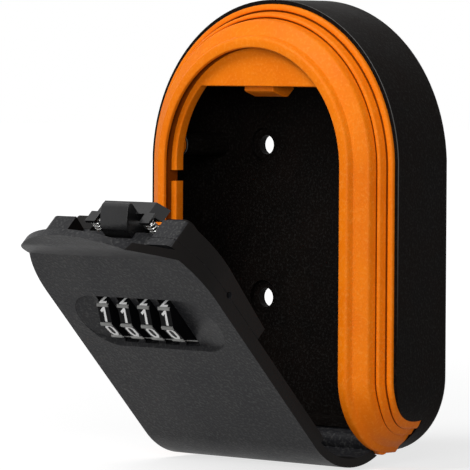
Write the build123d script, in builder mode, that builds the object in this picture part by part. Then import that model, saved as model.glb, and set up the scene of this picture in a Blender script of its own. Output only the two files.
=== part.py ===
from build123d import *
from math import cos, radians, sin, sqrt
import os

# A wall key box with a combination door. Millimetres, +Z up, the front faces -Y.
# The origin is the middle of the back face, where the box is screwed to a wall.
# The solids stand as the box is seen open, with the door dropped forward on its hinge.

# Driving dimensions of the body
body_width = 85.0
body_height = 115.3
shell_depth = 20.0
shell_wall = 3.0
back_thickness = 3.5
bottom_corner = 20.0
back_edge_radius = 1.5
lip_width = 1.0
lip_step = 17.0
fit_gap = 0.1

# The front frame is one section carried round the arch, down the sides and under the bottom
opening_half = 30.2
ledge_half = 28.5
face_y = -28.1
ledge_y = -25.6
wrap_y = -8.5
parting_y = -6.0
cap_chord_z = 35.45
cap_thickness = 2.5
strike_half = 5.0

# Door, hinge and opening
open_angle = 43.8
hinge_y = -10.8
hinge_z = -55.15
pin_radius = 1.0
pin_clearance = 0.05
pin_half = 30.9
pin_chamfer = 0.2
tail_relief = 5.2
lug_inner = 28.3
lug_radius = 2.6
door_half = 29.3
door_thickness = 2.3
skirt_half = 28.2
skirt_wall = 1.8
skirt_depth = 4.6
case_top = 87.0
case_bottom = 51.8
panel_top = 82.8
ear_inner = 15.0
case_floor_wall = 1.6

# Wheels and cams of the lock. It sits a little to the left of the box's middle.
lock_x = -1.6
dial_count = 4
dial_pitch = 7.06
dial_width = 3.9
dial_flat = 7.75
dial_ridge = 8.55
ridge_width = 1.1
positions = 10
ridge_angle = 80.0
spindle_radius = 1.0
sleeve_radius = 1.9
sleeve_clearance = 0.06
notch_radius = 2.6
notch_width = 0.8
fin_radius = 2.45
fin_width = 0.6
cam_tip = 3.35
cam_tooth = 0.5
cam_thickness = 1.3

# Places worked out from the driving dimensions
arch_z = body_height / 2 - body_width / 2
bottom_z = -body_height / 2
wrap_z = -37.35
wrap_radius = wrap_y - face_y
lip_radius = wrap_y + shell_depth
step = 360 / positions
dial_x = [(i - (dial_count - 1) / 2) * dial_pitch for i in range(dial_count)]

# Door planes: flat on the door, and side on along its hinge.
# On the flat plane x runs along the hinge from the lock's middle, y up the door and z out of its face.
tilt = radians(open_angle)
door_plane = Plane(origin=(lock_x, hinge_y, hinge_z), x_dir=(1, 0, 0), z_dir=(0, -cos(tilt), -sin(tilt)))
door_side = Plane(origin=door_plane.origin, x_dir=door_plane.y_dir, z_dir=(1, 0, 0))
door_face = hinge_y - face_y
door_back = door_face - door_thickness
door_arch = arch_z - hinge_z
bend_y = wrap_z - hinge_z
bend_z = hinge_y - wrap_y
spindle_y = 60.5
spindle_z = 11.6
door_middle = -lock_x


def side_polygon(points, half=None, start=None, end=None, mode=Mode.ADD):
    """Extrude a side-on outline of the door, across x = -half to half or start to end."""
    start = -half if start is None else start
    end = half if end is None else end
    with BuildSketch(door_side.offset(start)) as profile:
        with BuildLine():
            Polyline(*points, close=True)
        make_face()
    extrude(profile.sketch, amount=end - start, mode=mode)


def door_box(x, y, z, mode=Mode.ADD):
    """Extrude a box on the door from its (low, high) limits along x, y and z."""
    with BuildSketch(door_plane.offset(z[0])) as profile:
        with Locations(((x[0] + x[1]) / 2, (y[0] + y[1]) / 2)):
            Rectangle(x[1] - x[0], y[1] - y[0])
    extrude(profile.sketch, amount=z[1] - z[0], mode=mode)


def door_post(places, radius, z, mode=Mode.ADD):
    """Round posts or holes square to the door's face, from z[0] to z[1]."""
    with BuildSketch(door_plane.offset(z[0])) as profile:
        with Locations(*places):
            Circle(radius)
    extrude(profile.sketch, amount=z[1] - z[0], mode=mode)


def cross_rod(y, z, radius, x, mode=Mode.ADD):
    """A round bar or bore along the hinge's direction, from x[0] to x[1]."""
    with BuildSketch(door_side.offset(x[0])) as profile:
        with Locations((y, z)):
            Circle(radius)
    extrude(profile.sketch, amount=x[1] - x[0], mode=mode)


def body_outline(inset):
    """The body's front outline, an arch on straight sides with two round corners, drawn inset."""
    half = body_width / 2 - inset
    with Locations((0, arch_z)):
        Circle(half)
        Rectangle(2 * half, arch_z - bottom_z - inset, align=(Align.CENTER, Align.MAX))
    fillet(vertices().group_by(Axis.Y)[0], bottom_corner - inset)


def door_outline(half, top=None):
    """The door's outline: straight sides from below the hinge, and the arch or a flat top."""
    low = -4.0
    with Locations((door_middle, door_arch)):
        Circle(half)
        Rectangle(2 * half, door_arch - low, align=(Align.CENTER, Align.MAX))
    if top is not None:
        with Locations((door_middle, top)):
            Rectangle(3 * half, half, align=(Align.CENTER, Align.MIN), mode=Mode.SUBTRACT)


def eared_outline():
    """The inner case's outline: a flat top between two low round-topped ears."""
    door_outline(skirt_half, case_top)
    fillet(vertices().group_by(Axis.Y)[-1], 2.4)
    with Locations((door_middle, panel_top)):
        Rectangle(2 * ear_inner, 10, align=(Align.CENTER, Align.MIN), mode=Mode.SUBTRACT)


# Back shell: a deep tray whose lip runs round the frame and under its feet
foot_rebate_depth = shell_depth - lip_step
with BuildPart() as foot_rebate:
    with BuildSketch(Plane.XZ.offset(-parting_y)):
        body_outline(lip_width)
    extrude(amount=shell_depth)
    with BuildSketch(Plane.YZ):
        with Locations((wrap_y, wrap_z)):
            Circle(lip_radius + 1)
            Circle(lip_radius - foot_rebate_depth, mode=Mode.SUBTRACT)
            Rectangle(60, 60, align=(Align.CENTER, Align.MIN), mode=Mode.SUBTRACT)
    extrude(amount=body_width, both=True, mode=Mode.INTERSECT)

wall_holes = [(x, z) for x in (-18.0, 18.0) for z in (-20.0, 20.0)]
wall_hole_radius = 2.5
wall_screw_face = 4.5
wall_face_depth = 1.2
frame_posts = [(x, z) for x in (-33.0, 33.0) for z in (-24.0, 20.0)]
post_radius = 3.0
post_end = 20.0
post_pad = 2.8
frame_screw_radius = 1.45
frame_head_radius = 2.9
frame_head_depth = 1.9
frame_screw_length = 22.3
screw_sink = 0.3
cross_length = 3.4
cross_width = 0.8
cross_depth = 0.9
stop_underside = -51.75
stop_width = 44.0
stop_height = 2.2
stop_reach = 5.6

with BuildPart() as back_shell:
    with BuildSketch(Plane.XZ):
        body_outline(0)
    extrude(amount=shell_depth)
    fillet(faces().sort_by(Axis.Y)[-1].edges(), back_edge_radius)
    with BuildSketch(Plane.XZ.offset(back_thickness)):
        body_outline(shell_wall)
    extrude(amount=shell_depth, mode=Mode.SUBTRACT)
    with BuildSketch(Plane.XZ.offset(lip_step)):
        body_outline(lip_width)
        with Locations((0, wrap_z)):
            Rectangle(100, 60, align=(Align.CENTER, Align.MAX), mode=Mode.SUBTRACT)
    extrude(amount=shell_depth, mode=Mode.SUBTRACT)
    with BuildSketch(Plane.YZ):
        with Locations((parting_y, wrap_z)):
            Rectangle(40, 40, align=(Align.MAX, Align.MAX))
        with Locations((wrap_y, wrap_z)):
            Circle(lip_radius, mode=Mode.SUBTRACT)
    extrude(amount=body_width, both=True, mode=Mode.SUBTRACT)
    add(foot_rebate.part, mode=Mode.SUBTRACT)
    with BuildSketch(Plane.XZ.offset(back_thickness - 1)):
        with Locations((0, stop_underside)):
            Rectangle(stop_width, stop_height, align=(Align.CENTER, Align.MIN))
    extrude(amount=stop_reach + 1)
    with BuildSketch(Plane.XZ.offset(back_thickness - 1)):
        with Locations(*frame_posts):
            Circle(post_radius)
    extrude(amount=post_end - back_thickness + 1)
    with BuildSketch(Plane.XZ):
        with Locations(*wall_holes):
            Circle(wall_hole_radius)
        with Locations(*frame_posts):
            Circle(frame_screw_radius + fit_gap)
    extrude(amount=post_end + 1, mode=Mode.SUBTRACT)
    with BuildSketch(Plane.XZ):
        with Locations(*frame_posts):
            Circle(frame_head_radius + fit_gap)
    extrude(amount=frame_head_depth, mode=Mode.SUBTRACT)
    with BuildSketch(Plane.XZ.offset(back_thickness)):
        with Locations(*wall_holes):
            Circle(wall_screw_face)
    extrude(amount=-wall_face_depth, mode=Mode.SUBTRACT)
back_shell.part.label = "back_shell"


# Front frame section as (half-width, reach in front of the wrap axis), from the lip inward
rim = [(41.4, 8.6), (41.4, 11.0), (40.9, 11.9), (40.2, 12.2), (39.3, 12.2), (39.2, 12.4)]
rim += [(39.2, 13.6), (38.7, 14.3), (38.0, 14.4), (37.6, 14.4), (37.5, 14.6)]
cone = [(37.5, 15.8), (36.9, 16.5), (33.6, 18.3), (32.7, 19.3), (31.9, 20.0), (31.0, 20.0), (30.2, 19.4)]
ledge = [(opening_half, wrap_y - ledge_y), (ledge_half, wrap_y - ledge_y), (ledge_half, 14.4)]
inside = [(34.8, 13.2), (36.4, 11.2), (36.4, 8.6)]
section = rim + cone + ledge + inside


def drawn_in(half, reach, angle):
    """Where a point of the section lies once it has turned by angle under the bottom.

    Outer lines turn in with the body's round corners. Those of the opening stay straight.
    """
    corner = 19.0 - 0.25 * (41.4 - half)
    start = wrap_z - 0.1 - 1.35 * (41.4 - half)
    drop = max(0.0, start - (wrap_z - reach * sin(radians(angle))))
    if half <= opening_half:
        drop = 0.0
    return half - corner + sqrt(corner**2 - drop**2)


def foot_plane(angle):
    """A plane through the wrap axis, turned from the front (0) to straight down (90)."""
    turn = radians(angle)
    return Plane(origin=(0, wrap_y, wrap_z), x_dir=(1, 0, 0), z_dir=(0, sin(turn), -cos(turn)))


def foot_section(angle):
    """The frame's section on its plane at angle, where y of the sketch is the reach."""
    with BuildSketch(foot_plane(angle)) as profile:
        with BuildLine():
            Polyline(*[(drawn_in(half, reach, angle), reach) for half, reach in section], close=True)
        make_face()
    return profile.sketch


with BuildPart() as half_frame:
    with BuildSketch(Plane.XY.offset(arch_z)):
        with BuildLine():
            Polyline(*[(half, wrap_y - reach) for half, reach in section], close=True)
        make_face()
    extrude(amount=wrap_z - arch_z)
    with BuildSketch(Plane.XY.offset(arch_z)):
        with BuildLine():
            Polyline(*[(half, wrap_y - reach) for half, reach in section], close=True)
        make_face()
    revolve(axis=Axis((0, 0, arch_z), (0, -1, 0)), revolution_arc=90)
    loft([foot_section(angle) for angle in range(0, 91, 15)])
    extrude(foot_section(90), amount=parting_y - wrap_y - fit_gap)

frame_screw_end = frame_head_depth + frame_screw_length
notch_z = 12.1
notch_height = 2.8
notch_depth = 0.9
with BuildPart() as front_frame:
    add(half_frame.part)
    mirror(about=Plane.YZ)
    with BuildSketch(Plane.XZ.offset(-ledge_y)):
        with Locations((0, arch_z)):
            Circle(opening_half + 0.3)
        with Locations((0, cap_chord_z)):
            Rectangle(100, 100, align=(Align.CENTER, Align.MAX), mode=Mode.SUBTRACT)
    extrude(amount=-cap_thickness)
    with BuildSketch(Plane.YZ.offset(lock_x - strike_half)):
        with BuildLine():
            strike = [(-23.5, 38.5), (-23.5, 34.3), (-22.8, 33.9), (-19.6, 32.85), (-17.6, 32.85)]
            Polyline(*strike, (-15.4, 34.75), (-15.4, 38.5), close=True)
        make_face()
    extrude(amount=2 * strike_half)
    with BuildSketch(Plane.XZ.offset(post_end + fit_gap)):
        with Locations(*frame_posts):
            Circle(post_radius)
    extrude(amount=post_pad)
    with BuildSketch(Plane.XZ.offset(post_end)):
        with Locations(*frame_posts):
            Circle(frame_screw_radius + fit_gap / 2)
    extrude(amount=frame_screw_end - post_end, mode=Mode.SUBTRACT)
    with BuildSketch(Plane.YZ):
        with Locations((hinge_y, hinge_z)):
            Circle(tail_relief)
    extrude(amount=opening_half, both=True, mode=Mode.SUBTRACT)
    for side in (-1, 1):
        with BuildSketch(Plane.YZ.offset(side * lug_inner)):
            with Locations((hinge_y, hinge_z)):
                Circle(lug_radius)
        extrude(amount=side * (opening_half + 0.2 - lug_inner))
    with BuildSketch(Plane.YZ):
        with Locations((hinge_y, hinge_z)):
            Circle(pin_radius + pin_clearance / 2)
    extrude(amount=pin_half + fit_gap, both=True, mode=Mode.SUBTRACT)
    with BuildSketch(Plane.XZ.offset(-wrap_y + 13)):
        with Locations(*[(side * opening_half, notch_z) for side in (-1, 1)]):
            Rectangle(2 * notch_depth, notch_height)
    extrude(amount=5, mode=Mode.SUBTRACT)
front_frame.part.label = "front_frame"

with BuildPart() as frame_screws:
    with BuildSketch(Plane.XZ.offset(screw_sink)):
        with Locations(*frame_posts):
            Circle(frame_head_radius)
    extrude(amount=frame_head_depth - screw_sink)
    with BuildSketch(Plane.XZ.offset(frame_head_depth - 0.1)):
        with Locations(*frame_posts):
            Circle(frame_screw_radius)
    extrude(amount=frame_screw_length)
    with BuildSketch(Plane.XZ.offset(screw_sink)):
        with Locations(*frame_posts):
            Rectangle(cross_length, cross_width)
            Rectangle(cross_width, cross_length)
    extrude(amount=cross_depth, mode=Mode.SUBTRACT)
frame_screws.part.label = "frame_screws"

with BuildPart() as hinge_pin:
    with BuildSketch(Plane.YZ.offset(-pin_half)):
        with Locations((hinge_y, hinge_z)):
            Circle(pin_radius)
    extrude(amount=2 * pin_half)
    chamfer(edges().filter_by(GeomType.CIRCLE), pin_chamfer)
hinge_pin.part.label = "hinge_pin"


# Door cover: one shell from the hinge round the bend, up the face and out into the finger grip
tail_z = -4.0
tail_outer = bend_y - sqrt(wrap_radius**2 - (tail_z - bend_z) ** 2)
tail_inner = bend_y - sqrt((wrap_radius - door_thickness) ** 2 - (tail_z - bend_z) ** 2)
bend_outer_mid = (bend_y - wrap_radius * cos(radians(45)), bend_z + wrap_radius * sin(radians(45)))
inner_radius = wrap_radius - door_thickness
bend_inner_mid = (bend_y - inner_radius * cos(radians(45)), bend_z + inner_radius * sin(radians(45)))
grip_crease = door_arch + 14.0
grip_knee = (door_arch + 23.3, door_face + 5.9)
grip_edge = (door_arch + 29.6, door_face + 7.7)
grip_wall = 2.0
dish_y = spindle_y
dish_half = 24.0
dish_rise = 9.1
dish_draft = 35.0
dish_depth = 1.4
dish_flat = (-14.6, 15.0)
pad_back = 13.5
window_half = 2.35
window_rise = 8.45
case_screw_places = [(x, y) for x in (-15.4, 15.4) for y in (47.0, 80.2)]
case_screw_radius = 1.2
case_head_radius = 1.8
case_head_depth = 1.3
change_hole = (67.2, 12.4)
change_hole_radius = 0.9
case_floor = 9.1
case_floor_top = 6.62
knuckle_half = lug_inner - 0.2
knuckle_centre = (0.9, 0.6)
knuckle_radius = 2.7
cheek_x = (17.1, 18.3)
cheek_y = (57.5, 64.0)
boss_radius = 2.2
boss_root = 12.7
long_boss_root = 7.1
skirt_edge = door_face - skirt_depth
skirt_start = 16.0


def dish_outline(grow):
    """The long round-ended outline of the dish about the dials, grown by a margin."""
    with Locations((door_middle, dish_y)):
        SlotOverall(2 * (dish_half + grow), 2 * (dish_rise + grow))


with BuildPart() as dish:
    with BuildSketch(door_plane.offset(door_face - dish_depth)):
        dish_outline(-1)
    extrude(amount=dish_depth + 1, taper=-dish_draft)
    with BuildSketch(Plane(door_plane.origin, x_dir=(1, 0, 0), z_dir=-door_plane.y_dir)):
        with BuildLine():
            left, right = door_middle - dish_half, door_middle + dish_half
            over, floor = door_face + 2, door_face - dish_depth
            slopes = [(left, door_face), (dish_flat[0], floor), (dish_flat[1], floor), (right, door_face)]
            Polyline((left, over), *slopes, (right, over), close=True)
        make_face()
    extrude(amount=100, both=True, mode=Mode.INTERSECT)


with BuildPart() as door_cover:
    with BuildSketch(door_side.offset(door_middle - door_half)):
        with BuildLine():
            ThreePointArc((tail_outer, tail_z), bend_outer_mid, (bend_y, door_face))
            Line((bend_y, door_face), (grip_crease, door_face))
            Line((grip_crease, door_face), grip_knee)
            Line(grip_knee, grip_edge)
            Line(grip_edge, (grip_edge[0] + 0.4, grip_edge[1] - grip_wall))
            back_knee = (grip_knee[0] + 0.6, grip_knee[1] - grip_wall - 0.1)
            Line((grip_edge[0] + 0.4, grip_edge[1] - grip_wall), back_knee)
            Line(back_knee, (grip_crease + 0.9, door_back))
            Line((grip_crease + 0.9, door_back), (bend_y, door_back))
            ThreePointArc((bend_y, door_back), bend_inner_mid, (tail_inner, tail_z))
            Line((tail_inner, tail_z), (tail_outer, tail_z))
        make_face()
    extrude(amount=2 * door_half)
    with BuildSketch(door_plane.offset(-8)):
        door_outline(door_half)
    extrude(amount=40, mode=Mode.INTERSECT)
    with BuildSketch(door_plane.offset(skirt_edge)):
        eared_outline()
        with Locations((0, skirt_start)):
            Rectangle(80, 40, align=(Align.CENTER, Align.MAX), mode=Mode.SUBTRACT)
        with BuildSketch(mode=Mode.SUBTRACT):
            door_outline(skirt_half - skirt_wall, panel_top - skirt_wall)
    extrude(amount=door_back - skirt_edge)
    with BuildSketch(door_plane.offset(pad_back)):
        dish_outline(1.2)
    extrude(amount=door_back - pad_back)
    add(dish.part, mode=Mode.SUBTRACT)
    with BuildSketch(door_plane.offset(pad_back - 1)):
        with Locations(*[(x, spindle_y) for x in dial_x]):
            Rectangle(2 * window_half, 2 * window_rise)
    extrude(amount=6, mode=Mode.SUBTRACT)
    cross_rod(spindle_y, spindle_z, cam_tip + 0.2, (-16.6, 16.6), mode=Mode.SUBTRACT)
    for side in (-1, 1):
        cheek = sorted((side * cheek_x[0], side * cheek_x[1]))
        door_box(cheek, cheek_y, (9.0, pad_back + 0.5))
    door_post(case_screw_places, boss_radius, (boss_root, door_back))
    door_post(case_screw_places[1::2], boss_radius, (long_boss_root, door_back))
    door_post(case_screw_places, case_screw_radius + 0.05, (5.0, 14.2), mode=Mode.SUBTRACT)
    cross_rod(spindle_y, spindle_z, spindle_radius, (-cheek_x[1], cheek_x[1]), mode=Mode.SUBTRACT)
    cross_rod(*change_hole, change_hole_radius, (24.0, 34.0), mode=Mode.SUBTRACT)
    cross_rod(*knuckle_centre, knuckle_radius, (door_middle - knuckle_half, door_middle + knuckle_half))
    with BuildSketch(door_side.offset(-40)):
        with Locations((bend_y, bend_z)):
            Circle(wrap_radius + 6)
            Circle(wrap_radius, mode=Mode.SUBTRACT)
        with Locations((bend_y, bend_z)):
            Rectangle(40, 60, align=(Align.MIN, Align.CENTER), mode=Mode.SUBTRACT)
    extrude(amount=80, mode=Mode.SUBTRACT)
    for side in (-1, 1):
        reach = sorted((door_middle + side * knuckle_half, door_middle + side * 32))
        cross_rod(0, 0, lug_radius + 0.4, reach, mode=Mode.SUBTRACT)
    cross_rod(0, 0, pin_radius + pin_clearance, (-40, 40), mode=Mode.SUBTRACT)
door_cover.part.label = "door_cover"


def case_floor_at(y):
    """Height of the case's back face, which slopes a little down the door."""
    share = (y - case_bottom) / (case_top - case_bottom)
    return case_floor + share * (case_floor_top - case_floor)


# Inner case: a shallow tray behind the cover, open where the lock's works pass through
works_half = 18.4
works_top = 81.2
spring_way = 11.2
case_rim = skirt_edge - fit_gap
with BuildPart() as inner_case:
    outer_case = [(case_bottom, case_rim), (case_bottom, case_floor), (case_top, case_floor_top)]
    side_polygon([*outer_case, (case_top, case_rim)], half=skirt_half + door_middle)
    with BuildSketch(door_plane):
        eared_outline()
    extrude(amount=20, mode=Mode.INTERSECT)
    with BuildSketch(door_plane.offset(case_floor + case_floor_wall)):
        door_outline(skirt_half - skirt_wall, panel_top - skirt_wall)
        with Locations((0, case_bottom + skirt_wall)):
            Rectangle(80, 80, align=(Align.CENTER, Align.MAX), mode=Mode.SUBTRACT)
    extrude(amount=10, mode=Mode.SUBTRACT)
    door_box((-works_half, works_half), (case_bottom - 1, works_top), (0, 20), mode=Mode.SUBTRACT)
    door_box((-4.9, 4.9), (works_top - 1, case_top + 1), (0, 9.3), mode=Mode.SUBTRACT)
    cross_rod(*change_hole, change_hole_radius, (24.0, 34.0), mode=Mode.SUBTRACT)
    door_box((-spring_way, spring_way), (works_top - 1, case_top + 1), (0, 7.3), mode=Mode.SUBTRACT)
    door_post(case_screw_places, boss_radius + fit_gap, (0, 20), mode=Mode.SUBTRACT)
inner_case.part.label = "inner_case"

# Lock housing: the raised cover over the works, with corner bosses for its screws
housing_half = 20.0
housing_y = (43.8, 82.8)
housing_z = 2.3
housing_wall = 1.6
spring_x = 9.3
spring_z = 5.3
bar_notch = 12.4
with BuildPart() as lock_housing:
    door_box((-housing_half, housing_half), housing_y, (housing_z, case_rim))
    fillet(edges().filter_by(lambda e: abs(e.tangent_at(0).dot(door_plane.z_dir)) > 0.99), 2.0)
    door_box(
        (-works_half, works_half),
        (housing_y[0] + housing_wall, housing_y[1] - housing_wall),
        (housing_z + housing_wall, 20),
        mode=Mode.SUBTRACT,
    )
    door_post(case_screw_places, boss_radius + 0.2, (housing_z, long_boss_root - 0.2))
    door_post(case_screw_places[0::2], boss_radius, (housing_z, boss_root - fit_gap))
    for x in (-spring_x, spring_x):
        door_box((x - 1.8, x + 1.8), (74.4, 76.0), (housing_z + 1, 7.1))
    cut = [(case_bottom - fit_gap, 20), (case_bottom - fit_gap, case_floor - fit_gap)]
    side_polygon([*cut, (90, case_floor_at(90) - fit_gap), (90, 20)], half=30, mode=Mode.SUBTRACT)
    door_box((-bar_notch, bar_notch), (80.5, 84), (housing_z - 1, 4.2), mode=Mode.SUBTRACT)
    door_box((-spring_way, spring_way), (80.5, 84), (4.0, 9.3), mode=Mode.SUBTRACT)
    for x in dial_x:
        cross_rod(spindle_y, spindle_z, dial_ridge + 0.2, (x - 2.2, x + 2.2), mode=Mode.SUBTRACT)
    door_post(case_screw_places, case_screw_radius + fit_gap, (0, 13), mode=Mode.SUBTRACT)
    head_seat = (0, housing_z + case_head_depth)
    door_post(case_screw_places, case_head_radius + fit_gap, head_seat, mode=Mode.SUBTRACT)
lock_housing.part.label = "lock_housing"

with BuildPart() as case_screws:
    door_post(case_screw_places, case_head_radius, (housing_z + 0.2, housing_z + case_head_depth))
    door_post(case_screw_places, case_screw_radius, (housing_z + 1.2, 14.0))
    with BuildSketch(door_plane.offset(housing_z)):
        with Locations(*case_screw_places):
            Rectangle(2.2, 0.6)
            Rectangle(0.6, 2.2)
    extrude(amount=0.8, mode=Mode.SUBTRACT)
case_screws.part.label = "case_screws"


# Latch: a sprung slide with a hooked nose above the door, and a plate with one finger for each cam
finger_y = spindle_y + cam_tip + 0.25
cam_x = [x - dial_width / 2 - 0.15 - cam_thickness / 2 for x in dial_x]
with BuildPart() as latch:
    nose = [(74.0, 4.1), (74.0, 8.9), (85.1, 8.9), (86.6, 7.8), (89.0, 5.0), (89.3, 4.5)]
    side_polygon([*nose, (89.3, 3.6), (88.7, 3.1), (83.2, 3.1), (83.2, 4.1)], half=4.6)
    door_box((-4.6, 4.6), (74.0, 77.4), (4.1, 11.1))
    with BuildSketch(door_plane.offset(-0.2)):
        with BuildLine():
            Polyline((-12, 83.2), (12, 83.2), (8.9, 86.0), (-8.9, 86.0), close=True)
        make_face()
    extrude(amount=4.1)
    for x in (-spring_x, spring_x):
        door_box((x - 1.7, x + 1.7), (85.2, 86.0), (3.5, 7.0))
latch.part.label = "latch"

with BuildPart() as finger_plate:
    door_box((cam_x[0] - 0.5, cam_x[-1] + 0.5), (71.2, 77.4), (11.1, 12.1))
    for x in cam_x:
        door_box((x - 0.5, x + 0.5), (finger_y, 71.4), (11.3, 11.9))
finger_plate.part.label = "finger_plate"


def coil(name, foot, axis, radius, length, turns, wire):
    """A closed-end compression spring as one tube, from foot along axis."""
    across = Plane(origin=foot, z_dir=axis)
    pitch = length / turns
    path = across.location * Helix(pitch, length, radius)
    with BuildPart() as spring:
        with BuildLine():
            add(path)
        with BuildSketch(Plane(origin=path @ 0, z_dir=path % 0)):
            Circle(wire)
        sweep(is_frenet=True)
    spring.part.label = name
    return spring.part


def on_door(x, y, z):
    """A point of the door in the box's own frame."""
    return door_plane.from_local_coords(Vector(x, y, z))


spring_wire = 0.25
latch_spring_radius = 1.15
change_spring_radius = 1.6
spring_feet = [on_door(x, 76.0 + spring_wire + 0.05, spring_z) for x in (-spring_x, spring_x)]
spring_length = 85.2 - 76.0 - 2 * spring_wire - 0.1
latch_coil = (latch_spring_radius, spring_length, 8, spring_wire)
latch_coils = [coil("coil", foot, door_plane.y_dir, *latch_coil) for foot in spring_feet]
latch_springs = Compound(label="latch_springs", children=latch_coils)

# Spindle, and the sleeve cams and wheels that turn on it
with BuildPart() as dial_spindle:
    cross_rod(spindle_y, spindle_z, spindle_radius - 0.03, (-18.2, 18.2))
dial_spindle.part.label = "dial_spindle"


def cam_sleeve(index):
    """A sleeve with a fin that keys it in its wheel, and a star of teeth with one missing.

    The missing tooth is the gate that lets the latch's finger in at the set digit.
    """
    centre = dial_x[index]
    left = centre - dial_width / 2 - 0.15 - cam_thickness
    with BuildPart() as sleeve:
        cross_rod(spindle_y, spindle_z, sleeve_radius, (left, left + dial_pitch - 0.04))
        with BuildSketch(door_side.offset(left)):
            with Locations((spindle_y, spindle_z)):
                for tooth in range(1, positions):
                    with PolarLocations(0, 1, start_angle=tooth * step):
                        Rectangle(cam_tip, cam_tooth, align=(Align.MIN, Align.CENTER))
        extrude(amount=cam_thickness)
        with BuildSketch(door_side.offset(centre - 1.8)):
            with Locations((spindle_y, spindle_z)):
                Rectangle(fin_radius, fin_width, align=(Align.MIN, Align.CENTER))
        extrude(amount=1.1)
        cross_rod(spindle_y, spindle_z, spindle_radius + 0.05, (left - 1, left + 9), mode=Mode.SUBTRACT)
    sleeve.part.label = f"cam_sleeve_{index + 1}"
    return sleeve.part


def dial_wheel(index):
    """A number wheel: ten flats, a raised ridge at each corner and ten notches in the bore."""
    centre = dial_x[index]
    with BuildPart() as wheel:
        with BuildSketch(door_side.offset(centre - dial_width / 2)):
            with Locations((spindle_y, spindle_z)):
                corner = dial_flat / cos(radians(step / 2))
                RegularPolygon(corner, positions, rotation=ridge_angle)
                with PolarLocations(0, positions, start_angle=ridge_angle):
                    Rectangle(dial_ridge, ridge_width, align=(Align.MIN, Align.CENTER))
                Circle(sleeve_radius + sleeve_clearance, mode=Mode.SUBTRACT)
        extrude(amount=dial_width)
        with BuildSketch(door_side.offset(centre - dial_width / 2)):
            with Locations((spindle_y, spindle_z)):
                with PolarLocations(0, positions):
                    Rectangle(notch_radius, notch_width, align=(Align.MIN, Align.CENTER))
        extrude(amount=1.4, mode=Mode.SUBTRACT)
    wheel.part.label = f"dial_wheel_{index + 1}"
    return wheel.part


dial_wheels = [dial_wheel(index) for index in range(dial_count)]
cam_sleeves = [cam_sleeve(index) for index in range(dial_count)]

# Detent spring: a leaf with one bent finger for each cam, resting between two teeth
with BuildPart() as detent_spring:
    door_box((cam_x[0] - 1.5, cam_x[-1] + 1.5), (50.0, 53.5), (3.95, 4.3))
    lower = [(52.5, 3.95), (59.55, 7.2), (60.5, 8.6), (61.45, 7.2), (63.5, 7.2)]
    upper = [(63.5, 7.55), (61.3, 7.55), (60.5, 9.0), (59.7, 7.55), (52.5, 4.3)]
    for x in cam_x:
        side_polygon([*lower, *upper], start=x - 0.55, end=x + 0.55)
detent_spring.part.label = "detent_spring"

# Code change: a plate on the spindle that pushes the cams out of their wheels
plate_x = (14.3, 15.7)
with BuildPart() as change_plate:
    door_box(plate_x, (57.8, 70.0), (9.2, 13.3))
    fillet(edges().filter_by(Axis.X), 1.2)
    cross_rod(spindle_y, spindle_z, spindle_radius + 0.05, (10, 20), mode=Mode.SUBTRACT)
change_plate.part.label = "change_plate"

spring_end = cam_x[0] - cam_thickness / 2
change_wire = 0.2
change_foot = on_door(change_wire + 0.05 - cheek_x[0], spindle_y, spindle_z)
change_length = spring_end + cheek_x[0] - 2 * change_wire - 0.1
change_coil = (change_spring_radius, change_length, 3, change_wire)
change_spring = coil("change_spring", change_foot, Vector(1, 0, 0), *change_coil)

os.makedirs("parts", exist_ok=True)
whole = [back_shell, front_frame, frame_screws, hinge_pin, door_cover, inner_case, lock_housing]
whole += [case_screws, latch, finger_plate, dial_spindle, detent_spring, change_plate]
pieces = [item.part for item in whole]
for piece in [*pieces, latch_springs, change_spring, *dial_wheels, *cam_sleeves]:
    export_step(piece, f"parts/{piece.label}.step")
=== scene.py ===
"""Dresses the wall key box: arched orange frame, black shell, drop-down door with number wheels."""

import logging
from dataclasses import dataclass, field
from enum import Enum
from math import atan2, cos, pi, radians, sin, sqrt

import bmesh
import bpy
from mathutils import Matrix, Vector


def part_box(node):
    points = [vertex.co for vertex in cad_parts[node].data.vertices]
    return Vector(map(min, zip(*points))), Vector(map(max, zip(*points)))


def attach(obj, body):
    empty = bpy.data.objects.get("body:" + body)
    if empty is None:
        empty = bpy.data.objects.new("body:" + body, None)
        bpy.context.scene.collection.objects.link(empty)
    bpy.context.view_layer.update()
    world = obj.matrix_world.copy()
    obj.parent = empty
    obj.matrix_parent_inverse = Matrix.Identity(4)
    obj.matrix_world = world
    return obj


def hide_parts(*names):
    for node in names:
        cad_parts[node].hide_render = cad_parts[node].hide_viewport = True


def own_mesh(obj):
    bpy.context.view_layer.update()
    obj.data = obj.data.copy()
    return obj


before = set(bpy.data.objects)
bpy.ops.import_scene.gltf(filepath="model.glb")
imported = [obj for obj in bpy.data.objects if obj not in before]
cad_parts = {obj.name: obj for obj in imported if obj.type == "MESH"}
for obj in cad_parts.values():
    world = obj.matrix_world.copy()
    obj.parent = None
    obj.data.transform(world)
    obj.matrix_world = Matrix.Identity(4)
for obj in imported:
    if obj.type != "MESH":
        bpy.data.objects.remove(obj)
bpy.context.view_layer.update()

LOG = logging.getLogger("key_box")
MM = 0.001
WHITE = (1.0, 1.0, 1.0, 1.0)

# Numbers on each wheel, and the degrees from one to the next
DIGITS = 10
STEP = 36

# Points of a copied solid closer than WELD metres are one, and faces within FLAT_ANGLE are one face.
# Edges sharper than EDGE_ANGLE are rounded, and faces that look up the door more than TOP_LEAST are its top.
WELD = 0.000002
FLAT_ANGLE = 1.5
EDGE_ANGLE = 32.0
TOP_LEAST = 0.8

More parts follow.
